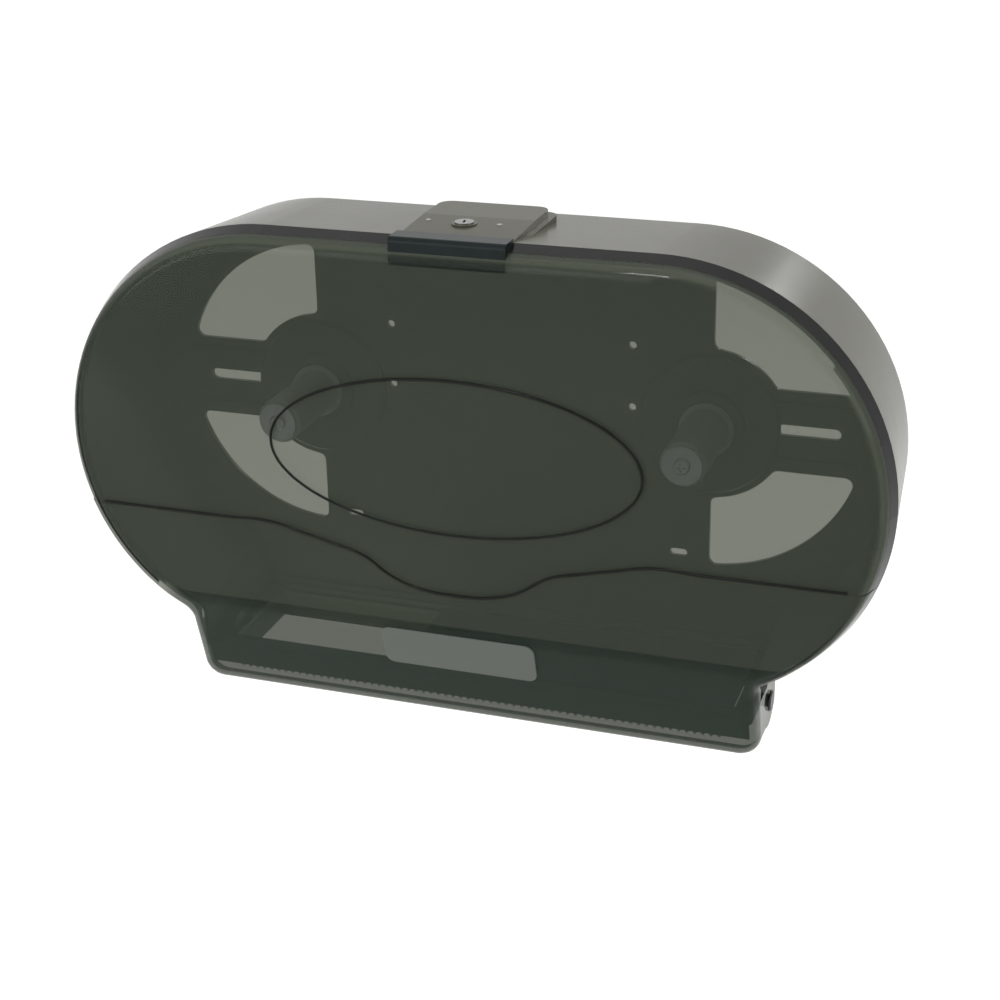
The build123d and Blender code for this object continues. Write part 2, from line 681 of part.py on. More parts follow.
def lock_housing():
    """Raised box on top that holds the key barrel and takes in the catch's hook."""
    body = lock_outer()
    half = LOCK_HALF - LOCK_WALL
    rear = -LOCK_REAR - LOCK_WALL
    top = LOCK_TOP - LOCK_FALL - LOCK_WALL
    hollow = block(-half, half, -HOUSING_DEPTH, rear, LOCK_BASE - 1, top)
    back_edges = hollow.edges().filter_by(Axis.Z).group_by(Axis.Y)[-1]
    body -= fillet(back_edges, LOCK_CORNER - LOCK_WALL)
    bore = BARREL_RADIUS + RUNNING
    body += post(BARREL_X, BARREL_Y, bore + SLEEVE_WALL, SLEEVE_BOTTOM, LOCK_TOP)
    body -= post(BARREL_X, BARREL_Y, bore, LOCK_BASE - 1, LOCK_TOP + 1)
    end = LOCK_SCREW_X + LOCK_LUG_END
    low = LOCK_SCREW_Y - LOCK_LUG_END
    high = LOCK_SCREW_Y + LOCK_LUG_END
    lug = block(LOCK_HALF, end, low, high, LOCK_BASE, LOCK_BASE + LOCK_WALL)
    hole = post(LOCK_SCREW_X, LOCK_SCREW_Y, LOCK_SCREW_RADIUS, LOCK_BASE - 1, LOCK_TOP)
    body += [lug, left_of(lug)]
    body -= [hole, left_of(hole)]
    return body - [lock_mark(x, 5) for x in MARK_X]


def lock_marks():
    """Two pale pips let into the top of the lock box."""
    return Compound([lock_mark(x, MARK_DEPTH + MARK_RAISE) for x in MARK_X])


def turned(solid, z):
    """Solid placed on the barrel's axis, turned to the open lock's angle."""
    return Pos(BARREL_X, BARREL_Y, z) * Rot(0, 0, CAM_OPEN) * solid


def lock_barrel():
    """Key barrel with its flange, key slot and the square stub that drives the cam."""
    top = LOCK_TOP + BARREL_PROUD
    flange = BARREL_RADIUS + BARREL_FLANGE
    body = post(BARREL_X, BARREL_Y, BARREL_RADIUS, BARREL_BOTTOM, LOCK_TOP + 0.5)
    body += post(BARREL_X, BARREL_Y, flange, LOCK_TOP + 0.1, top)
    body += turned(Box(STUB, STUB, CAM_THICK), BARREL_BOTTOM - CAM_THICK / 2)
    body -= turned(Box(KEY_LENGTH, KEY_WIDTH, 2 * KEY_DEPTH), top)
    hole_top = BARREL_BOTTOM + 4
    return body - post(BARREL_X, BARREL_Y, CAM_SCREW_RADIUS, CAM_BOTTOM - 1, hole_top)


def lock_cam():
    """Cam under the barrel; its nose turns in front of the hook's bar."""
    back = CAM_WIDTH / 2
    middle = (CAM_NOSE_OUT - back) / 2
    plate = Pos(0, -middle) * Rectangle(CAM_WIDTH, CAM_NOSE_OUT + back)
    plate = fillet(plate.vertices().group_by(Axis.Y)[-1], back - 0.1)
    nose = Pos(0, -(CAM_NOSE_IN + CAM_NOSE_OUT) / 2)
    body = extrude(plate, CAM_THICK)
    body += extrude(nose * Rectangle(CAM_WIDTH, CAM_NOSE_OUT - CAM_NOSE_IN), CAM_NOSE_HEIGHT)
    body -= Box(STUB, STUB, 4 * CAM_THICK)
    return turned(body, CAM_BOTTOM)


# ---- hubs ----


def roll_hub():
    """Right hub: a fluted sleeve with a rear flange, which turns on the post."""
    back = HUB_BACK
    front = back + HUB_LENGTH
    body = rod(HUB_X, HUB_Z, HUB_RADIUS, front, back)
    body = chamfer(body.edges().sort_by(Axis.Y)[0], 1.5)
    length = HUB_LENGTH
    for index in range(HUB_FLUTES):
        angle = 90 + (index + 0.5) * 360 / HUB_FLUTES
        bearing = math.radians(angle)
        x = HUB_X + HUB_RADIUS * math.cos(bearing)
        z = HUB_Z + HUB_RADIUS * math.sin(bearing)
        cutter = Rot(0, -angle, 0) * Box(2 * FLUTE_DEPTH, length, FLUTE_WIDTH)
        body -= Pos(x, -(front + back) / 2, z) * cutter
    body += rod(HUB_X, HUB_Z, HUB_RADIUS + HUB_FLANGE, back + 2, back)
    return body - rod(HUB_X, HUB_Z, POST_RADIUS + RUNNING, front + 1, back - 1)


def ring(radius, bore, front, back):
    """Flat ring round the right hub's axis."""
    return rod(HUB_X, HUB_Z, radius, front, back) - rod(HUB_X, HUB_Z, bore, front + 1, back - 1)


def brake_washers():
    """Felt rings that the hubs rub on."""
    return both(ring(BRAKE_RADIUS, POST_RADIUS + RUNNING, SEAT_FRONT + BRAKE_THICK, SEAT_FRONT))


def hub_washers():
    """Washers that keep the hubs on their posts."""
    return both(ring(WASHER_RADIUS, HUB_SCREW_RADIUS, POST_END + WASHER_THICK, POST_END))


# ---- door ----


def sliding_door():
    """Door that covers one roll's outlet."""
    front = -OUTLET_FRONT - DOOR_SEAT
    back = -OUTLET_BACK + DOOR_SEAT
    return block(DOOR_LEFT, DOOR_RIGHT, front, back, DOOR_UNDER, DOOR_UNDER + DOOR_THICK)


def door_grip():
    """Finger grip under the door: a rounded tab with a flange and three ribs."""
    centre = (DOOR_LEFT + DOOR_RIGHT) / 2
    half = GRIP_WIDTH / 2
    face = -DOOR_MIDDLE - GRIP_MIDDLE
    low = DOOR_UNDER - GRIP_DROP
    body = block(centre - half, centre + half, face, face + GRIP_THICK, low, DOOR_UNDER)
    tips = body.edges().filter_by(Axis.Y).group_by(Axis.Z)[0]
    body = fillet(tips, 5)
    back = face + GRIP_FLANGE
    body += block(centre - half, centre + half, face, back, DOOR_UNDER - GRIP_PLATE, DOOR_UNDER)
    for x in (centre - half / 2, centre, centre + half / 2):
        points = [(face + 1, DOOR_UNDER), (back, DOOR_UNDER), (face + 1, low + 3)]
        plane = Plane.YZ.offset(x - GRIP_RIB / 2)
        body += extrude(plane * make_face(Polyline(*points, close=True)), GRIP_RIB)
    return body


def door_bumpers():
    """Rubber bumpers that stop the door at both ends."""
    x = OUTLET_HALF
    front = -DOOR_MIDDLE - BUMPER_DEPTH / 2
    back = front + BUMPER_DEPTH
    body = block(x, x + BUMPER_THICK, front, back, FLOOR_TOP, FLOOR_TOP + BUMPER_HEIGHT)
    corners = body.edges().filter_by(Axis.Z).group_by(Axis.X)[0]
    return both(chamfer(corners, 1))


def tear_bar():
    """Toothed steel strip between the outlet and the apron."""
    low = HINGE_Z - TEAR_DROP
    teeth = round(2 * TEAR_HALF / TEAR_PITCH)
    pitch = 2 * TEAR_HALF / teeth
    points = [(TEAR_HALF, FLOOR_UNDER), (-TEAR_HALF, FLOOR_UNDER), (-TEAR_HALF, low + TEAR_DEPTH)]
    for index in range(teeth):
        x = -TEAR_HALF + (index + 0.5) * pitch
        points.append((x, low))
        points.append((x + pitch / 2, low + TEAR_DEPTH))
    body = extrude(at(OUTLET_FRONT) * make_face(Polyline(*points, close=True)), TEAR_THICK)
    back = -OUTLET_FRONT - TEAR_THICK
    front = back - TEAR_FLANGE
    under = FLOOR_UNDER - TEAR_THICK
    body += block(-TEAR_HALF, TEAR_HALF, front, back, under, FLOOR_UNDER)
    for spot in TEAR_SCREWS:
        body -= post(spot, TEAR_SCREW_Y, TEAR_SCREW_RADIUS, under - 1, FLOOR_UNDER + 1)
    return body


# ---- screws and pins ----


def cross_screw(radius, length, head, raise_):
    """Screw along +Z with a cross recess; the head stands above z = 0."""
    body = Pos(0, 0, -length / 2) * Cylinder(radius, length)
    cap = Pos(0, 0, raise_ / 2) * Cylinder(head, raise_)
    body += chamfer(cap.edges().sort_by(Axis.Z)[-1], raise_ * 0.4)
    arm = head * 1.1
    width = head * 0.25
    return body - Pos(0, 0, raise_) * (Box(arm, width, raise_) + Box(width, arm, raise_))


def tear_screws():
    """Screws that hold the tear bar, heads below."""
    length = HOUSING_WALL + TEAR_THICK
    screw = cross_screw(TEAR_SCREW_RADIUS, length, TEAR_SCREW_HEAD, TEAR_SCREW_RAISE)
    top = FLOOR_UNDER - TEAR_THICK
    return Compound([Pos(x, TEAR_SCREW_Y, top) * Rot(180, 0, 0) * screw for x in TEAR_SCREWS])


def lock_screws():
    """Two screws that hold the lock box from inside."""
    screw = cross_screw(LOCK_SCREW_RADIUS, LOCK_SCREW_LENGTH, LOCK_SCREW_HEAD, LOCK_SCREW_RAISE)
    return both(Pos(LOCK_SCREW_X, LOCK_SCREW_Y, LOCK_BASE) * Rot(180, 0, 0) * screw)


def cam_screw():
    """Screw that holds the cam on the barrel."""
    screw = cross_screw(CAM_SCREW_RADIUS, CAM_THICK + 4, CAM_SCREW_HEAD, CAM_SCREW_RAISE)
    return turned(Rot(180, 0, 0) * screw, CAM_BOTTOM)


def hub_screws():
    """Screws in the ends of the posts."""
    screw = cross_screw(HUB_SCREW_RADIUS, HUB_SCREW_LENGTH, HUB_SCREW_HEAD, HUB_SCREW_RAISE)
    return both(Pos(HUB_X, -POST_END - WASHER_THICK, HUB_Z) * Rot(90, 0, 0) * screw)


def hinge_pins():
    """Hinge pins with round heads outside the ears."""
    head = SKIRT_HALF + PLAY
    body = axle(BOX_HALF - PIN_REACH, head + 1, HINGE_Y, HINGE_Z, PIN_RADIUS)
    cap = axle(head, head + PIN_HEAD_THICK, HINGE_Y, HINGE_Z, PIN_HEAD_RADIUS)
    return both(body + chamfer(cap.edges().sort_by(Axis.X)[-1], PIN_HEAD_THICK / 2))


def pieces():
    """Every node of the dispenser by name."""
    hub = roll_hub()
    return {
        "back_housing": back_housing(),
        "side_wall": side_wall(),
        "outlet_floor": outlet_floor(),
        "front_cover": front_cover(),
        "cover_catch": cover_catch(),
        "label_plate": label_plate(),
        "hinge_pins": hinge_pins(),
        "lock_housing": lock_housing(),
        "lock_marks": lock_marks(),
        "lock_screws": lock_screws(),
        "lock_barrel": lock_barrel(),
        "lock_cam": lock_cam(),
        "cam_screw": cam_screw(),
        "roll_hub_left": left_of(hub),
        "roll_hub_right": hub,
        "brake_washers": brake_washers(),
        "hub_washers": hub_washers(),
        "hub_screws": hub_screws(),
        "sliding_door": sliding_door(),
        "door_grip": door_grip(),
        "door_bumpers": door_bumpers(),
        "tear_bar": tear_bar(),
        "tear_screws": tear_screws(),
    }


def main():
    os.makedirs("parts", exist_ok=True)
    for name, solid in pieces().items():
        box = solid.bounding_box()
        sizes = f"{box.size.X:.1f} x {box.size.Y:.1f} x {box.size.Z:.1f}"
        print(f"{name}: {len(solid.solids())} solid, {sizes} mm, valid {solid.is_valid}")
        export_step(solid, f"parts/{name}.step")


main()
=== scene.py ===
# %% [markdown]
# # A jumbo toilet roll dispenser in grey plastic with a see-through smoke cover
# The shape comes from the CAD model, which is loaded as a fixed frame. This lesson adds what the
# CAD cannot hold: the camera of the photograph, the light, and how each plastic and metal looks.

# %% load the frame
import json
import math

import bpy
from mathutils import Matrix, Vector


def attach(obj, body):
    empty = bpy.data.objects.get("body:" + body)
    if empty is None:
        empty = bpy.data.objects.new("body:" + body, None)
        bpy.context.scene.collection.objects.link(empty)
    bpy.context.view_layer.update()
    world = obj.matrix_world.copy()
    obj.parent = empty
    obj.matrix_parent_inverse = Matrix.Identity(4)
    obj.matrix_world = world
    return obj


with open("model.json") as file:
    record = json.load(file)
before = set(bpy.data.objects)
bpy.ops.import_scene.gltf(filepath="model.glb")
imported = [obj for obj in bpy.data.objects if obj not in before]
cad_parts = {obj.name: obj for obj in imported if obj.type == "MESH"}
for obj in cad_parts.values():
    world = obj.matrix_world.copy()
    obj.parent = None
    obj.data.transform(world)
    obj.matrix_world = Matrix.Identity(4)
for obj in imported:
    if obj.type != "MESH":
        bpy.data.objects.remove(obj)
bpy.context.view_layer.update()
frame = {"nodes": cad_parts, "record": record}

# %% [markdown]
# ## Camera
# The camera stands where the photographer stood: a little above the dispenser and to its right.
# A camera could be aimed with a constraint, but here its three axes are worked out from its tilt,
# turn and roll, so that nothing has to be adjusted by eye.

# %% camera
CAMERA_PLACE = Vector((0.36913, -1.08227, 0.42639))
CAMERA_TILT = math.radians(23.07)
CAMERA_TURN = math.radians(19.28)
CAMERA_ROLL = math.radians(-1.14)
LENS = 69.46

camera_data = bpy.data.cameras.new("camera")
camera_data.lens = LENS
camera_data.sensor_width = 36.0
camera = bpy.data.objects.new("camera", camera_data)
bpy.context.scene.collection.objects.link(camera)
ahead = Vector((
    -math.sin(CAMERA_TURN) * math.cos(CAMERA_TILT),
    math.cos(CAMERA_TURN) * math.cos(CAMERA_TILT),
    -math.sin(CAMERA_TILT),
))
level = Vector((math.cos(CAMERA_TURN), math.sin(CAMERA_TURN), 0.0))
upward = level.cross(ahead)
side = level * math.cos(CAMERA_ROLL) + upward * math.sin(CAMERA_ROLL)
above = upward * math.cos(CAMERA_ROLL) - level * math.sin(CAMERA_ROLL)
camera.matrix_world = Matrix.Translation(CAMERA_PLACE) @ Matrix((side, above, -ahead)).transposed().to_4x4()
bpy.context.scene.camera = camera
bpy.context.scene.view_settings.view_transform = "Standard"
print("camera looks along", [round(v, 3) for v in ahead])

# %% [markdown]
# ## Room and floor
# The photograph has a plain white ground. It could be made by flooding the dispenser with light,
# but that would wash out its greys. Instead the room is white only where the camera, a glossy
# reflection or glass meets it, and a softer grey as a light. A look through the smoke cover counts
# its transparent steps, and meets the soft grey too, as it meets the real room behind.

# %% helper: where the ground counts as white
def white_where(tree):
    """One for rays that should meet white, zero for light and for looks through the cover."""
    path = tree.nodes.new("ShaderNodeLightPath")
    direct = tree.nodes.new("ShaderNodeMath")
    direct.operation = "LESS_THAN"
    direct.inputs[1].default_value = 0.5
    tree.links.new(path.outputs["Transparent Depth"], direct.inputs[0])
    eye = tree.nodes.new("ShaderNodeMath")
    eye.operation = "MULTIPLY"
    tree.links.new(path.outputs["Is Camera Ray"], eye.inputs[0])
    tree.links.new(direct.outputs[0], eye.inputs[1])
    shine = tree.nodes.new("ShaderNodeMath")
    shine.operation = "MAXIMUM"
    tree.links.new(path.outputs["Is Glossy Ray"], shine.inputs[0])
    tree.links.new(path.outputs["Is Transmission Ray"], shine.inputs[1])
    seen = tree.nodes.new("ShaderNodeMath")
    seen.operation = "MAXIMUM"
    tree.links.new(eye.outputs[0], seen.inputs[0])
    tree.links.new(shine.outputs[0], seen.inputs[1])
    return seen.outputs[0]


# %% world
world = bpy.data.worlds.new("white_room")
bpy.context.scene.world = world
world.use_nodes = True
tree = world.node_tree
tree.nodes.clear()
room = tree.nodes.new("ShaderNodeBackground")
room.inputs["Color"].default_value = (0.98, 1.0, 0.92, 1.0)
room.inputs["Strength"].default_value = 0.32
white = tree.nodes.new("ShaderNodeBackground")
white.inputs["Color"].default_value = (1.0, 1.0, 1.0, 1.0)
white.inputs["Strength"].default_value = 1.0
mix = tree.nodes.new("ShaderNodeMixShader")
tree.links.new(white_where(tree), mix.inputs[0])
tree.links.new(room.outputs[0], mix.inputs[1])
tree.links.new(white.outputs[0], mix.inputs[2])
out = tree.nodes.new("ShaderNodeOutputWorld")
tree.links.new(mix.outputs[0], out.inputs["Surface"])
print("world:", world.name)

# %% [markdown]
# ## Soft studio light
# Three large area lamps: one in front on the left, one on the right for the rounded end, and one
# straight above for the top of the housing. Small lamps give hard glints, so there are only two: one
# for the white streak on the cover's rounded upper edge, and one behind for the housing's corner.

# %% lamps
LAMPS = {
    "front_lamp": ((-0.95, -1.9, 0.35), 1.3, 11.0),
    "right_lamp": ((1.7, -0.3, 0.6), 1.0, 4.0),
    "top_lamp": ((0.1, 0.1, 1.9), 1.2, 4.0),
    "rear_lamp": ((0.5, 1.8, 0.75), 0.3, 4.0),
    "glint_lamp": ((-0.2, -1.2, 1.2), 0.2, 4.0),
}
for name, (place, size, power) in LAMPS.items():
    lamp_data = bpy.data.lights.new(name, "AREA")
    lamp_data.size = size
    lamp_data.energy = power
    lamp = bpy.data.objects.new(name, lamp_data)
    lamp.location = place
    lamp.rotation_euler = (Vector(place) * -1.0).to_track_quat("-Z", "Y").to_euler()
    bpy.context.scene.collection.objects.link(lamp)
print("lamps:", len(LAMPS))

# %% [markdown]
# ## Material helpers
# Every finish starts from the same Principled shader, with its fixed values set on its own
# sockets. What changes over a surface, such as grain, dust and worn edges, comes from node groups.

# %% helpers for materials
def new_material(name, **values):
    """A material with one Principled shader and the given fixed values."""
    material = bpy.data.materials.new(name)
    material.use_nodes = True
    shader = material.node_tree.nodes["Principled BSDF"]
    for socket, value in values.items():
        shader.inputs[socket.replace("_", " ")].default_value = value
    return material, material.node_tree, shader


def new_group(name, inputs, outputs):
    """A node group with named inputs and outputs."""
    group = bpy.data.node_groups.new(name, "ShaderNodeTree")
    for socket, kind, value in inputs:
        made = group.interface.new_socket(socket, in_out="INPUT", socket_type=kind)
        made.default_value = value
    for socket, kind in outputs:
        group.interface.new_socket(socket, in_out="OUTPUT", socket_type=kind)
    return group, group.nodes.new("NodeGroupInput"), group.nodes.new("NodeGroupOutput")


def add_group(tree, group, **values):
    """Place a node group in a material with its own values."""
    node = tree.nodes.new("ShaderNodeGroup")
    node.node_tree = group
    for socket, value in values.items():
        node.inputs[socket.replace("_", " ")].default_value = value
    return node


# %% helper: mixing two colours
# A Mix node keeps sockets for every data type, so its colour sockets are reached by their place.
MIX_FIRST, MIX_SECOND, MIX_RESULT = 6, 7, 2


def mixed_color(tree, factor, first, second):
    """Mix two colours by a mask; each is a fixed colour or the socket that carries one."""
    node = tree.nodes.new("ShaderNodeMix")
    node.data_type = "RGBA"
    for place, color in ((MIX_FIRST, first), (MIX_SECOND, second)):
        if isinstance(color, tuple):
            node.inputs[place].default_value = color
        else:
            tree.links.new(color, node.inputs[place])
    tree.links.new(factor, node.inputs["Factor"])
    return node.outputs[MIX_RESULT]


def product(tree, first, second):
    """Multiply the values of two sockets."""
    node = tree.nodes.new("ShaderNodeMath")
    node.operation = "MULTIPLY"
    tree.links.new(first, node.inputs[0])
    tree.links.new(second, node.inputs[1])
    return node.outputs[0]


print("helpers for colours ready")

# %% grain: the fine texture that a mould leaves on plastic
FLOAT = "NodeSocketFloat"
COLOR = "NodeSocketColor"
VECTOR = "NodeSocketVector"
grain_group, grain_in, grain_out = new_group(
    "moulded_grain",
    [("Size", FLOAT, 900.0), ("Depth", FLOAT, 0.1), ("Roughness", FLOAT, 0.4), ("Spread", FLOAT, 0.1)],
    [("Normal", VECTOR), ("Roughness", FLOAT)],
)
nodes, links = grain_group.nodes, grain_group.links
where = nodes.new("ShaderNodeTexCoord")
fine = nodes.new("ShaderNodeTexNoise")
fine.inputs["Detail"].default_value = 3.0
links.new(where.outputs["Object"], fine.inputs["Vector"])
links.new(grain_in.outputs["Size"], fine.inputs["Scale"])
bump = nodes.new("ShaderNodeBump")
bump.inputs["Distance"].default_value = 0.0004
links.new(grain_in.outputs["Depth"], bump.inputs["Strength"])
links.new(fine.outputs["Fac"], bump.inputs["Height"])
links.new(bump.outputs["Normal"], grain_out.inputs["Normal"])
broad = nodes.new("ShaderNodeTexNoise")
broad.inputs["Scale"].default_value = 14.0
broad.inputs["Detail"].default_value = 4.0
links.new(where.outputs["Object"], broad.inputs["Vector"])
centre = nodes.new("ShaderNodeMath")
centre.operation = "SUBTRACT"
centre.inputs[1].default_value = 0.5
links.new(broad.outputs["Fac"], centre.inputs[0])
scaled = nodes.new("ShaderNodeMath")
scaled.operation = "MULTIPLY_ADD"
links.new(centre.outputs[0], scaled.inputs[0])
links.new(grain_in.outputs["Spread"], scaled.inputs[1])
links.new(grain_in.outputs["Roughness"], scaled.inputs[2])
links.new(scaled.outputs[0], grain_out.inputs["Roughness"])
print("group:", grain_group.name)

# %% dust: pale dust that settles on faces that look upward
dust_group, dust_in, dust_out = new_group(
    "settled_dust",
    [("Base", COLOR, (0.2, 0.2, 0.2, 1.0)), ("Dust", COLOR, (0.5, 0.5, 0.46, 1.0)), ("Amount", FLOAT, 0.15)],
    [("Color", COLOR), ("Mask", FLOAT)],
)
nodes, links = dust_group.nodes, dust_group.links
shape = nodes.new("ShaderNodeNewGeometry")
split = nodes.new("ShaderNodeSeparateXYZ")
links.new(shape.outputs["Normal"], split.inputs[0])
up = nodes.new("ShaderNodeMapRange")
up.inputs["From Min"].default_value = 0.2
up.inputs["From Max"].default_value = 1.0
links.new(split.outputs["Z"], up.inputs["Value"])
where = nodes.new("ShaderNodeTexCoord")
patch = nodes.new("ShaderNodeTexNoise")
patch.inputs["Scale"].default_value = 45.0
patch.inputs["Detail"].default_value = 6.0
links.new(where.outputs["Object"], patch.inputs["Vector"])
patches = product(dust_group, up.outputs[0], patch.outputs["Fac"])
amount = product(dust_group, patches, dust_in.outputs["Amount"])
dusty = mixed_color(dust_group, amount, dust_in.outputs["Base"], dust_in.outputs["Dust"])
links.new(dusty, dust_out.inputs["Color"])
links.new(amount, dust_out.inputs["Mask"])
print("group:", dust_group.name)

# %% worn: edges and ridges that hands and rolls have rubbed paler
worn_group, worn_in, worn_out = new_group(
    "rubbed_edges",
    [("Base", COLOR, (0.2, 0.2, 0.2, 1.0)), ("Rubbed", COLOR, (0.3, 0.3, 0.28, 1.0)), ("Amount", FLOAT, 0.3)],
    [("Color", COLOR)],
)
nodes, links = worn_group.nodes, worn_group.links
shape = nodes.new("ShaderNodeNewGeometry")
ridge = nodes.new("ShaderNodeMapRange")
ridge.inputs["From Min"].default_value = 0.52
ridge.inputs["From Max"].default_value = 0.62
links.new(shape.outputs["Pointiness"], ridge.inputs["Value"])
where = nodes.new("ShaderNodeTexCoord")
broken = nodes.new("ShaderNodeTexNoise")
broken.inputs["Scale"].default_value = 160.0
broken.inputs["Detail"].default_value = 5.0
links.new(where.outputs["Object"], broken.inputs["Vector"])
broken_ridge = product(worn_group, ridge.outputs[0], broken.outputs["Fac"])
share = product(worn_group, broken_ridge, worn_in.outputs["Amount"])
rubbed_color = mixed_color(worn_group, share, worn_in.outputs["Base"], worn_in.outputs["Rubbed"])
links.new(rubbed_color, worn_out.inputs["Color"])
print("group:", worn_group.name)

# %% [markdown]
# ## Plastics
# The housing is a grey plastic with a satin mould texture. The cover is the same kind of plastic,
# dyed to a smoke and polished, so it is built with an alpha below one: a little light goes through
# it and its gloss stays on top. Real refraction would bend the inside by less than a millimetre.

# %% plastics
def plastic(name, color, roughness, depth, dust, size=900.0, rubbed=0.35):
    """A moulded plastic with grain, rubbed ridges and settled dust."""
    material, tree, shader = new_material(name, IOR=1.46, Specular_IOR_Level=0.12)
    grain = add_group(tree, grain_group, Size=size, Depth=depth, Roughness=roughness)
    paler = tuple(min(1.0, 1.6 * value + 0.02) for value in color)
    ridges = add_group(tree, worn_group, Base=(*color, 1.0), Rubbed=(*paler, 1.0), Amount=rubbed)
    film = add_group(tree, dust_group, Amount=dust)
    tree.links.new(ridges.outputs["Color"], film.inputs["Base"])
    tree.links.new(film.outputs["Color"], shader.inputs["Base Color"])
    tree.links.new(grain.outputs["Roughness"], shader.inputs["Roughness"])
    tree.links.new(grain.outputs["Normal"], shader.inputs["Normal"])
    return material, tree, shader


housing_plastic = plastic("housing_plastic", (0.105, 0.101, 0.074), 0.22, 0.06, 0.04)[0]
dark_plastic = plastic("dark_plastic", (0.008, 0.015, 0.015), 0.22, 0.05, 0.01)[0]
hub_plastic = plastic("hub_plastic", (0.46, 0.46, 0.43), 0.3, 0.1, 0.05)[0]
door_plastic = plastic("door_plastic", (0.12, 0.125, 0.115), 0.35, 0.1, 0.05)[0]
label_plastic = plastic("label_plastic", (0.15, 0.165, 0.155), 0.3, 0.04, 0.0)[0]
mark_plastic = plastic("mark_plastic", (0.5, 0.5, 0.47), 0.35, 0.03, 0.0)[0]
rubber = plastic("bumper_rubber", (0.02, 0.02, 0.02), 0.7, 0.2, 0.05)[0]
felt = plastic("brake_felt", (0.2, 0.19, 0.18), 0.95, 0.6, 0.0, 2500.0)[0]
# painted shade: the bead is near-black for the dark look of the groove's edge; its gloss is real
bead_painted_shade = plastic("bead_painted_shade", (0.008, 0.009, 0.008), 0.12, 0.01, 0.0)[0]
print("plastics made")

# %% [markdown]
# ## Smoke cover
# The dark band along the seam is painted shade, for the shadow in the gap where the rim runs back to
# the housing. A mask by depth, kept off the leaning skirt, mixes this near-black painted shade into the
# colour and closes the alpha there; a second mask paints the rim's sides paler, a painted reflection.

# %% band: a mask by depth, for the painted seam shade and the painted rim reflection
band_group, band_in, band_out = new_group(
    "seam_band",
    [("Start", FLOAT, -0.1055), ("End", FLOAT, -0.1035), ("Lowest", FLOAT, -0.1)],
    [("Mask", FLOAT)],
)
nodes, links = band_group.nodes, band_group.links
where = nodes.new("ShaderNodeTexCoord")
split = nodes.new("ShaderNodeSeparateXYZ")
links.new(where.outputs["Object"], split.inputs[0])
depth = nodes.new("ShaderNodeMapRange")
links.new(split.outputs["Y"], depth.inputs["Value"])
links.new(band_in.outputs["Start"], depth.inputs["From Min"])
links.new(band_in.outputs["End"], depth.inputs["From Max"])
higher = nodes.new("ShaderNodeMath")
higher.operation = "GREATER_THAN"
links.new(split.outputs["Z"], higher.inputs[0])
links.new(band_in.outputs["Lowest"], higher.inputs[1])
links.new(product(band_group, depth.outputs[0], higher.outputs[0]), band_out.inputs["Mask"])
print("group:", band_group.name)

# %% skirt: the leaning lower part, which is seen at a slant and so looks less clear
skirt_group, skirt_in, skirt_out = new_group(
    "leaning_skirt",
    [("Top", FLOAT, -0.099), ("Full", FLOAT, -0.108)],
    [("Mask", FLOAT)],
)
nodes, links = skirt_group.nodes, skirt_group.links
where = nodes.new("ShaderNodeTexCoord")
split = nodes.new("ShaderNodeSeparateXYZ")
links.new(where.outputs["Object"], split.inputs[0])
lower = nodes.new("ShaderNodeMapRange")
links.new(split.outputs["Z"], lower.inputs["Value"])
links.new(skirt_in.outputs["Top"], lower.inputs["From Min"])
links.new(skirt_in.outputs["Full"], lower.inputs["From Max"])
links.new(lower.outputs[0], skirt_out.inputs["Mask"])
print("group:", skirt_group.name)

# %% smoke
FACE_ALPHA = 0.37
RIM_ALPHA = 0.6
SKIRT_ALPHA = 0.62
smoke, smoke_tree, smoke_shader = new_material("smoke_cover", IOR=1.5, Specular_IOR_Level=0.2)
grain = add_group(smoke_tree, grain_group, Size=120.0, Depth=0.003, Roughness=0.06, Spread=0.05)
film = add_group(smoke_tree, dust_group, Amount=0.04)
band = add_group(smoke_tree, band_group)
# this mask marks the rim's sides, which get a paler painted reflection and a partly closed alpha
rim = add_group(smoke_tree, band_group, Start=-0.1121, End=-0.1105)
skirt = add_group(smoke_tree, skirt_group)

FACE_DYE = (0.024, 0.04, 0.028, 1.0)
# painted reflection: the rim's sides are painted paler, as if lit from above
PAINTED_RIM_SHEEN = (0.12, 0.14, 0.108, 1.0)
# painted shade: near-black for the shadow in the gap along the seam
PAINTED_SEAM_SHADOW = (0.004, 0.005, 0.005, 1.0)
# the smoke's own tint, with the painted rim reflection and the painted seam shade mixed in
dye_and_rim_sheen = mixed_color(smoke_tree, rim.outputs["Mask"], FACE_DYE, PAINTED_RIM_SHEEN)
dye_with_sheen_and_shade = mixed_color(smoke_tree, band.outputs["Mask"], dye_and_rim_sheen, PAINTED_SEAM_SHADOW)
closed = smoke_tree.nodes.new("ShaderNodeMapRange")
closed.inputs["To Min"].default_value = FACE_ALPHA
closed.inputs["To Max"].default_value = RIM_ALPHA
smoke_tree.links.new(rim.outputs["Mask"], closed.inputs["Value"])
smoke_tree.links.new(dye_with_sheen_and_shade, film.inputs["Base"])
smoke_tree.links.new(film.outputs["Color"], smoke_shader.inputs["Base Color"])
VALUE_FIRST, VALUE_SECOND = 2, 3
lower_part = smoke_tree.nodes.new("ShaderNodeMix")
lower_part.inputs[VALUE_SECOND].default_value = SKIRT_ALPHA
smoke_tree.links.new(skirt.outputs["Mask"], lower_part.inputs["Factor"])
smoke_tree.links.new(closed.outputs[0], lower_part.inputs[VALUE_FIRST])
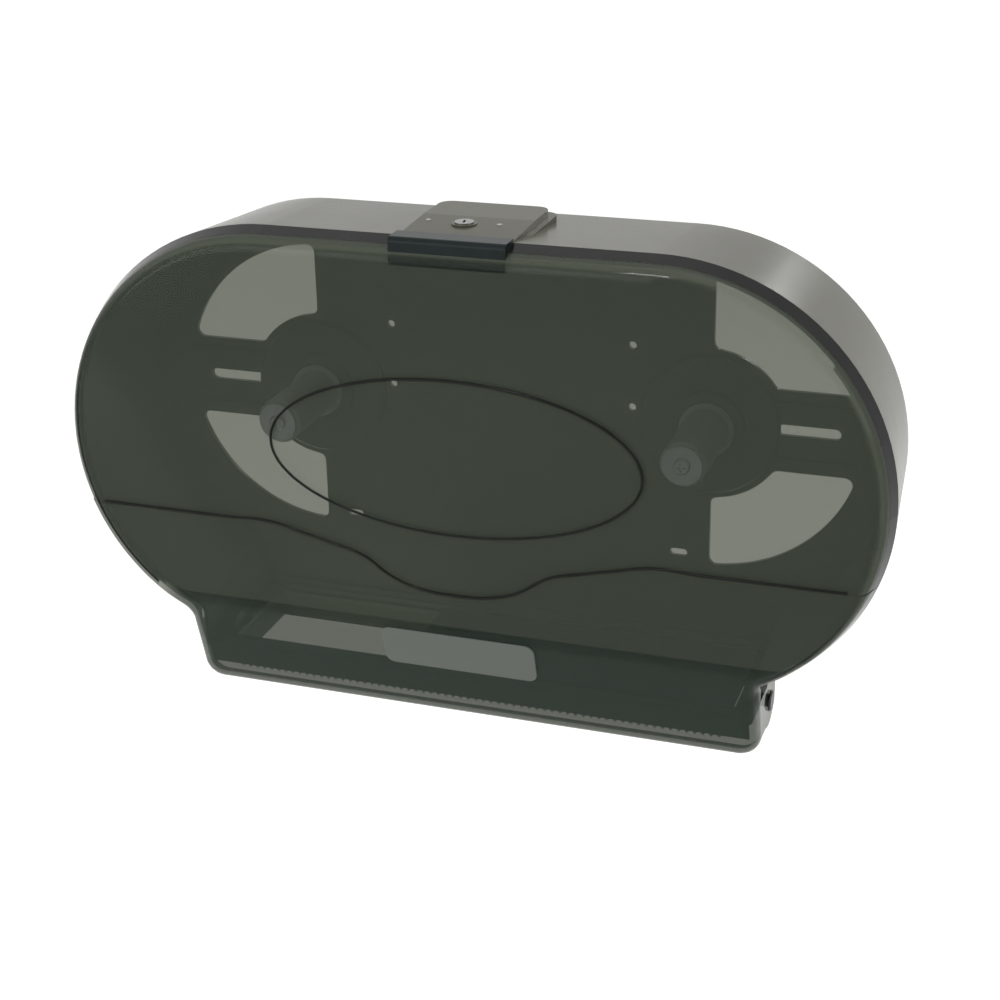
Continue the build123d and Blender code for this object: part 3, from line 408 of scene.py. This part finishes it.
# the painted seam shade also closes the alpha to one
dark_line = smoke_tree.nodes.new("ShaderNodeMath")
dark_line.operation = "MAXIMUM"
smoke_tree.links.new(lower_part.outputs[0], dark_line.inputs[0])
smoke_tree.links.new(band.outputs["Mask"], dark_line.inputs[1])
smoke_tree.links.new(dark_line.outputs[0], smoke_shader.inputs["Alpha"])
smoke_tree.links.new(grain.outputs["Roughness"], smoke_shader.inputs["Roughness"])
smoke_tree.links.new(grain.outputs["Normal"], smoke_shader.inputs["Normal"])
print("smoke alpha on front, rim and skirt:", FACE_ALPHA, RIM_ALPHA, SKIRT_ALPHA)

# %% [markdown]
# ## Metals
# Screws, washers, pins and the tear bar are small and mostly hidden, but they show when the cover
# is open. Anisotropic gloss could draw the brushing; fine streaks in roughness, tint and bump give
# the same look and also survive the export.

# %% metals
DARK_STREAK = 0.85


def metal(name, color, roughness, brushed):
    """A metal with fine brushed streaks."""
    material, tree, shader = new_material(name, Metallic=1.0)
    where = tree.nodes.new("ShaderNodeTexCoord")
    stretch = tree.nodes.new("ShaderNodeMapping")
    stretch.inputs["Scale"].default_value = (40.0, 900.0, 900.0)
    tree.links.new(where.outputs["Object"], stretch.inputs["Vector"])
    streaks = tree.nodes.new("ShaderNodeTexNoise")
    streaks.inputs["Scale"].default_value = 2.0
    streaks.inputs["Detail"].default_value = 4.0
    tree.links.new(stretch.outputs[0], streaks.inputs["Vector"])
    shade = tree.nodes.new("ShaderNodeMapRange")
    shade.inputs["To Min"].default_value = roughness * 0.7
    shade.inputs["To Max"].default_value = roughness * 1.4
    tree.links.new(streaks.outputs["Fac"], shade.inputs["Value"])
    tree.links.new(shade.outputs[0], shader.inputs["Roughness"])
    darker = tuple(value * DARK_STREAK for value in color)
    tint = mixed_color(tree, streaks.outputs["Fac"], (*darker, 1.0), (*color, 1.0))
    tree.links.new(tint, shader.inputs["Base Color"])
    bump = tree.nodes.new("ShaderNodeBump")
    bump.inputs["Strength"].default_value = brushed
    bump.inputs["Distance"].default_value = 0.0002
    tree.links.new(streaks.outputs["Fac"], bump.inputs["Height"])
    tree.links.new(bump.outputs["Normal"], shader.inputs["Normal"])
    return material


steel = metal("zinc_steel", (0.55, 0.56, 0.55), 0.32, 0.2)
barrel_metal = metal("barrel_metal", (0.3, 0.3, 0.29), 0.3, 0.05)
black_pin = metal("blackened_pin", (0.05, 0.05, 0.05), 0.35, 0.1)
print("metals made")

# %% dress the CAD nodes
FINISH = {
    "housing": housing_plastic,
    "smoke": smoke,
    "dark_plastic": dark_plastic,
    "label": label_plastic,
    "mark": mark_plastic,
    "pin": black_pin,
    "steel": steel,
    "chrome": barrel_metal,
    "hub": hub_plastic,
    "door": door_plastic,
    "felt": felt,
    "rubber": rubber,
}
for part in frame["record"]["subparts"]:
    piece = frame["nodes"][part["node"]]
    piece.data.materials.clear()
    piece.data.materials.append(FINISH[part["material_slot"]])

# %% [markdown]
# ## Beads in the cover's front
# The cover's front is shaped by a raised oval and a wave, each with a polished edge that catches
# the light. The CAD has only the grooves that they stand in. A near-black glossy bead sits in each:
# its black is painted shade for the dark look of the edge, and its gloss gives the glints. Each edge
# could be modelled into the cover's mesh, but a round bead on a curve of its own stays smooth at any
# zoom and keeps the CAD node as it is.

# %% helper: a round bead along a smooth line
FRONT_Y = -0.1123
BEAD_RADIUS = 0.00075
BEAD_DEPTH = 0.0002


def bead(name, points, closed):
    """A round bead through points on the cover's flat front, as X and Z in metres."""
    data = bpy.data.curves.new(name, "CURVE")
    data.dimensions = "3D"
    data.bevel_depth = BEAD_RADIUS
    data.bevel_resolution = 3
    data.resolution_u = 10
    data.use_fill_caps = True
    line = data.splines.new("BEZIER")
    line.bezier_points.add(len(points) - 1)
    line.use_cyclic_u = closed
    for spot, (x, z) in zip(line.bezier_points, points):
        spot.co = (x, FRONT_Y + BEAD_DEPTH, z)
        spot.handle_left_type = "AUTO"
        spot.handle_right_type = "AUTO"
    made = bpy.data.objects.new(name, data)
    bpy.context.scene.collection.objects.link(made)
    data.materials.append(bead_painted_shade)
    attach(made, "cover")
    return made


# %% the oval and the wave
OVAL_HALF_X, OVAL_HALF_Z, OVAL_Z = 0.1146, 0.0482, 0.0103
OVAL_POINTS = 32
GROOVE_HALF = 0.0009
oval_line = []
for step in range(OVAL_POINTS):
    turn = 2.0 * math.pi * step / OVAL_POINTS
    oval_line.append((OVAL_HALF_X * math.cos(turn), OVAL_Z + OVAL_HALF_Z * math.sin(turn)))
WAVE_MIDDLE = (0.0, -0.078 + GROOVE_HALF)
WAVE = [(22.0, -76.5), (42.0, -69.5), (57.0, -59.5), (78.0, -53.5), (99.0, -48.5), (118.0, -44.3)]
wave_right = [(x / 1000.0, z / 1000.0 + GROOVE_HALF) for x, z in WAVE]
wave_right += [(0.145, -0.0436), (0.19, -0.0436), (0.2325, -0.0436)]
wave_left = [(-x, z) for x, z in reversed(wave_right)]
wave_line = wave_left + [WAVE_MIDDLE] + wave_right
bead("oval_bead", oval_line, True)
bead("wave_bead", wave_line, False)
print("beads:", len(oval_line), "and", len(wave_line), "points")

# %% [markdown]
# ## Floor
# A pale floor lies well below the dispenser, which hangs on a wall. Its own paint is a light grey
# that keeps the soft shadow, and it glows a little for the same rays that meet the white room, so
# the lit floor reaches white and only the shadow stays below it.

# %% floor
REACH, LEVEL = 8.0, -0.62
FLOOR_GLOW = 0.8
THROUGH_GLOW = 0.32
floor_mesh = bpy.data.meshes.new("floor")
floor_mesh.from_pydata(
    [(-REACH, -REACH, LEVEL), (REACH, -REACH, LEVEL), (REACH, REACH, LEVEL), (-REACH, REACH, LEVEL)],
    [],
    [(0, 1, 2, 3)],
)
floor = bpy.data.objects.new("floor", floor_mesh)
bpy.context.scene.collection.objects.link(floor)
FLOOR_GREY = (0.62, 0.62, 0.62, 1.0)
floor_paint, floor_tree, floor_shader = new_material("floor_paint", Base_Color=FLOOR_GREY, Roughness=0.9)
glow = floor_tree.nodes.new("ShaderNodeEmission")
glow_share = floor_tree.nodes.new("ShaderNodeMath")
glow_share.operation = "MULTIPLY_ADD"
glow_share.inputs[1].default_value = FLOOR_GLOW - THROUGH_GLOW
glow_share.inputs[2].default_value = THROUGH_GLOW
floor_seen = white_where(floor_tree)
floor_tree.links.new(floor_seen, glow_share.inputs[0])
SMOKED, WHITE = (0.97, 1.0, 0.8, 1.0), (1.0, 1.0, 1.0, 1.0)
glow_color = mixed_color(floor_tree, floor_seen, SMOKED, WHITE)
floor_tree.links.new(glow_color, glow.inputs["Color"])
floor_tree.links.new(glow_share.outputs[0], glow.inputs["Strength"])
both_shaders = floor_tree.nodes.new("ShaderNodeAddShader")
floor_tree.links.new(floor_shader.outputs[0], both_shaders.inputs[0])
floor_tree.links.new(glow.outputs[0], both_shaders.inputs[1])
floor_tree.links.new(both_shaders.outputs[0], floor_tree.nodes["Material Output"].inputs["Surface"])
floor_mesh.materials.append(floor_paint)
print("floor at", LEVEL)
